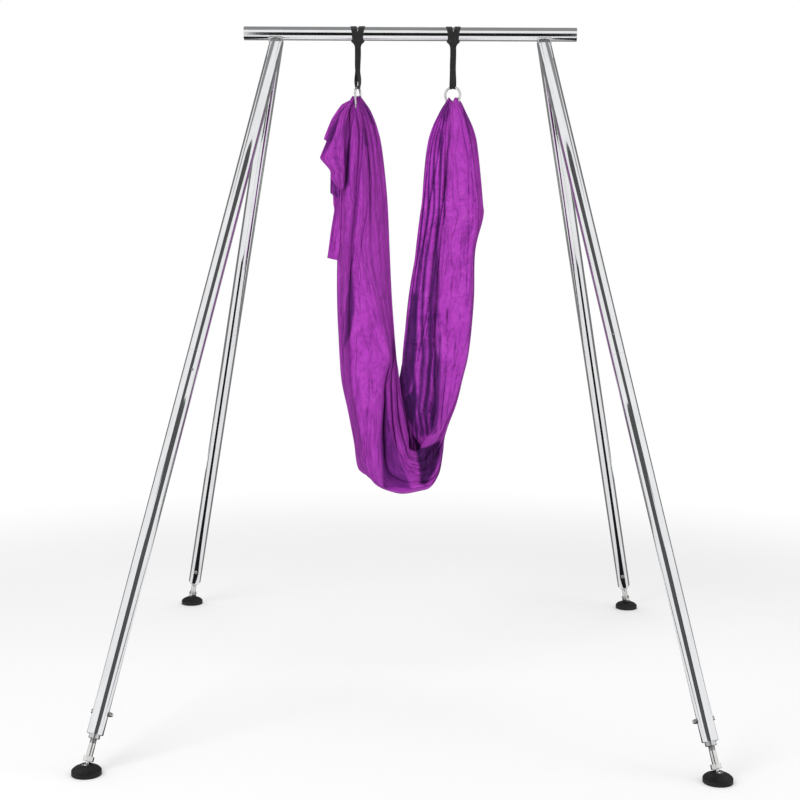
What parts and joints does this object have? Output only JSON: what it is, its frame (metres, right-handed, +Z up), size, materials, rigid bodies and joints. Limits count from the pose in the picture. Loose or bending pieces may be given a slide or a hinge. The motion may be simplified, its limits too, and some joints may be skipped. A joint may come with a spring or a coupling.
{
  "type": "aerial yoga rig",
  "caption": "Free-standing aerial yoga rig: a bar on splayed tube legs with screw feet and rubber pads, and a fabric hammock hung on webbing straps and carabiners.",
  "frame": {"origin": "on the floor under the middle of the bar, the centre of the feet", "axes": "+Z up, +X along the bar to the right, the front faces -Y"},
  "size_m": [2.505, 2.715, 2.9533],
  "materials": {
    "polished_tube": "polished steel tube with fine lengthwise polishing lines",
    "turned_steel": "plain turned and welded steel",
    "spring_steel": "bright spring steel",
    "bright_hardware": "bright plated screw stem and nuts",
    "carabiner_steel": "polished round steel rod",
    "end_plug": "matt black moulded plastic",
    "rubber_pad": "matt black moulded rubber",
    "webbing": "woven dark grey polyester webbing",
    "hammock_fabric": "soft purple knitted nylon, finely creased"
  },
  "bodies": {
    "frame": {"top_bar": "polished_tube", "bar_end_plug_left": "end_plug", "bar_end_plug_right": "end_plug", "leg_head_left": "turned_steel", "leg_head_right": "turned_steel", "upper_leg_front_left": "polished_tube", "lower_leg_front_left": "polished_tube", "leg_sleeve_front_left": "turned_steel", "foot_plug_front_left": "turned_steel", "cross_bolt_front_left": "turned_steel", "cap_nut_front_left": "bright_hardware", "upper_leg_front_right": "polished_tube", "lower_leg_front_right": "polished_tube", "leg_sleeve_front_right": "turned_steel", "foot_plug_front_right": "turned_steel", "cross_bolt_front_right": "turned_steel", "cap_nut_front_right": "bright_hardware", "upper_leg_rear_left": "polished_tube", "lower_leg_rear_left": "polished_tube", "leg_sleeve_rear_left": "turned_steel", "foot_plug_rear_left": "turned_steel", "cross_bolt_rear_left": "turned_steel", "cap_nut_rear_left": "bright_hardware", "upper_leg_rear_right": "polished_tube", "lower_leg_rear_right": "polished_tube", "leg_sleeve_rear_right": "turned_steel", "foot_plug_rear_right": "turned_steel", "cross_bolt_rear_right": "turned_steel", "cap_nut_rear_right": "bright_hardware"},
    "button_front_left": {"snap_button_front_left": "spring_steel"},
    "stem_front_left": {"foot_stem_front_left": "bright_hardware", "stem_nut_front_left": "bright_hardware"},
    "pad_front_left": {"pad_socket_front_left": "turned_steel", "foot_pad_front_left": "rubber_pad"},
    "button_front_right": {"snap_button_front_right": "spring_steel"},
    "stem_front_right": {"foot_stem_front_right": "bright_hardware", "stem_nut_front_right": "bright_hardware"},
    "pad_front_right": {"pad_socket_front_right": "turned_steel", "foot_pad_front_right": "rubber_pad"},
    "button_rear_left": {"snap_button_rear_left": "spring_steel"},
    "stem_rear_left": {"foot_stem_rear_left": "bright_hardware", "stem_nut_rear_left": "bright_hardware"},
    "pad_rear_left": {"pad_socket_rear_left": "turned_steel", "foot_pad_rear_left": "rubber_pad"},
    "button_rear_right": {"snap_button_rear_right": "spring_steel"},
    "stem_rear_right": {"foot_stem_rear_right": "bright_hardware", "stem_nut_rear_right": "bright_hardware"},
    "pad_rear_right": {"pad_socket_rear_right": "turned_steel", "foot_pad_rear_right": "rubber_pad"},
    "sling": {"strap_left": "webbing", "strap_right": "webbing", "carabiner_left": "carabiner_steel", "carabiner_right": "carabiner_steel", "hammock": "hammock_fabric"},
    "gate_left": {"carabiner_gate_left": "carabiner_steel"},
    "gate_right": {"carabiner_gate_right": "carabiner_steel"}
  },
  "joints": [
    {"name": "button_press_front_left", "type": "hinge", "parent": "frame", "child": "button_front_left", "pos_m": [-0.86705, -0.63548, 1.53873], "axis": [0.8971, 0.298, -0.3262], "range_deg": [0, 5.2], "stiffness_Nm_per_rad": 2, "springref_deg": -2.86},
    {"name": "stem_screw_front_left", "type": "slide", "parent": "frame", "child": "stem_front_left", "axis": [0.1889, 0.4087, 0.8929], "range_m": [-0.025, 0.03]},
    {"name": "pad_tilt_front_left", "type": "hinge", "parent": "stem_front_left", "child": "pad_front_left", "pos_m": [-1.195, -1.3, 0.03], "axis": [-0.9077, 0.4196, 0], "range_deg": [-3.2, 56.7]},
    {"name": "button_press_front_right", "type": "hinge", "parent": "frame", "child": "button_front_right", "pos_m": [0.86487, -0.61633, 1.5855], "axis": [-0.9747, 0.0327, -0.2212], "range_deg": [0, 5.2], "stiffness_Nm_per_rad": 2, "springref_deg": -2.86},
    {"name": "stem_screw_front_right", "type": "slide", "parent": "frame", "child": "stem_front_right", "axis": [-0.1889, 0.4087, 0.8929], "range_m": [-0.025, 0.03]},
    {"name": "pad_tilt_front_right", "type": "hinge", "parent": "stem_front_right", "child": "pad_front_right", "pos_m": [1.195, -1.3, 0.03], "axis": [-0.9077, -0.4196, 0], "range_deg": [-3.2, 56.7]},
    {"name": "button_press_rear_left", "type": "hinge", "parent": "frame", "child": "button_rear_left", "pos_m": [-0.87743, 0.6367, 1.54148], "axis": [-0.982, -0.0786, 0.1718], "range_deg": [0, 5.2], "stiffness_Nm_per_rad": 2, "springref_deg": -2.86},
    {"name": "stem_screw_rear_left", "type": "slide", "parent": "frame", "child": "stem_rear_left", "axis": [0.1889, -0.4087, 0.8929], "range_m": [-0.025, 0.03]},
    {"name": "pad_tilt_rear_left", "type": "hinge", "parent": "stem_rear_left", "child": "pad_rear_left", "pos_m": [-1.195, 1.3, 0.03], "axis": [0.9077, 0.4196, 0], "range_deg": [-3.2, 56.7]},
    {"name": "button_press_rear_right", "type": "hinge", "parent": "frame", "child": "button_rear_right", "pos_m": [0.85818, 0.59912, 1.52021], "axis": [0.6442, -0.7378, -0.2014], "range_deg": [0, 5.2], "stiffness_Nm_per_rad": 2, "springref_deg": -2.86},
    {"name": "stem_screw_rear_right", "type": "slide", "parent": "frame", "child": "stem_rear_right", "axis": [-0.1889, -0.4087, 0.8929], "range_m": [-0.025, 0.03]},
    {"name": "pad_tilt_rear_right", "type": "hinge", "parent": "stem_rear_right", "child": "pad_rear_right", "pos_m": [1.195, 1.3, 0.03], "axis": [0.9077, -0.4196, 0], "range_deg": [-3.2, 56.7]},
    {"name": "hammock_swing", "type": "hinge", "parent": "frame", "child": "sling", "pos_m": [0, 0, 2.92], "axis": [1, 0, 0], "range_deg": [-60, 60]},
    {"name": "gate_open_left", "type": "hinge", "parent": "sling", "child": "gate_left", "pos_m": [-0.23827, -0.02376, 2.61288], "axis": [-0.9563, 0.2924, 0], "range_deg": [0, 22], "stiffness_Nm_per_rad": 0.4, "springref_deg": -17.19},
    {"name": "gate_open_right", "type": "hinge", "parent": "sling", "child": "gate_right", "pos_m": [0.16724, 0.00727, 2.61288], "axis": [0.2924, 0.9563, 0], "range_deg": [0, 22], "stiffness_Nm_per_rad": 0.4, "springref_deg": -17.19}
  ]
}
